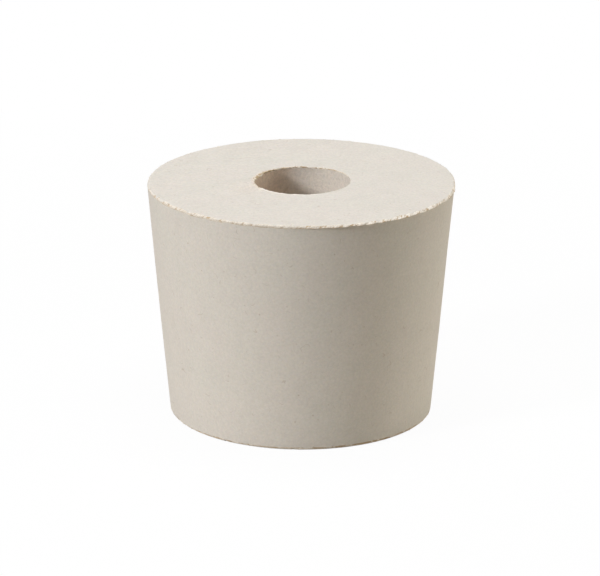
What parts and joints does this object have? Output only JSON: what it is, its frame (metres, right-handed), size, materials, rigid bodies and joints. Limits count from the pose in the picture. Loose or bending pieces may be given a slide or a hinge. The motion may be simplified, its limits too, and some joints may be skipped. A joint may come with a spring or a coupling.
{
  "type": "rubber stopper",
  "caption": "Tapered round rubber plug with a straight hole through it, to close the neck of a flask or bottle around a tube.",
  "frame": {"origin": "centre of the narrow end's flat face, on the hole's axis", "axes": "+Z along the hole, from the narrow end to the wide end; the object is round, so X and Y are any two directions across it"},
  "size_m": [0.032, 0.032, 0.0248],
  "materials": {
    "rubber": "matte"
  },
  "bodies": {
    "root": {"stopper": "rubber"}
  },
  "joints": []
}
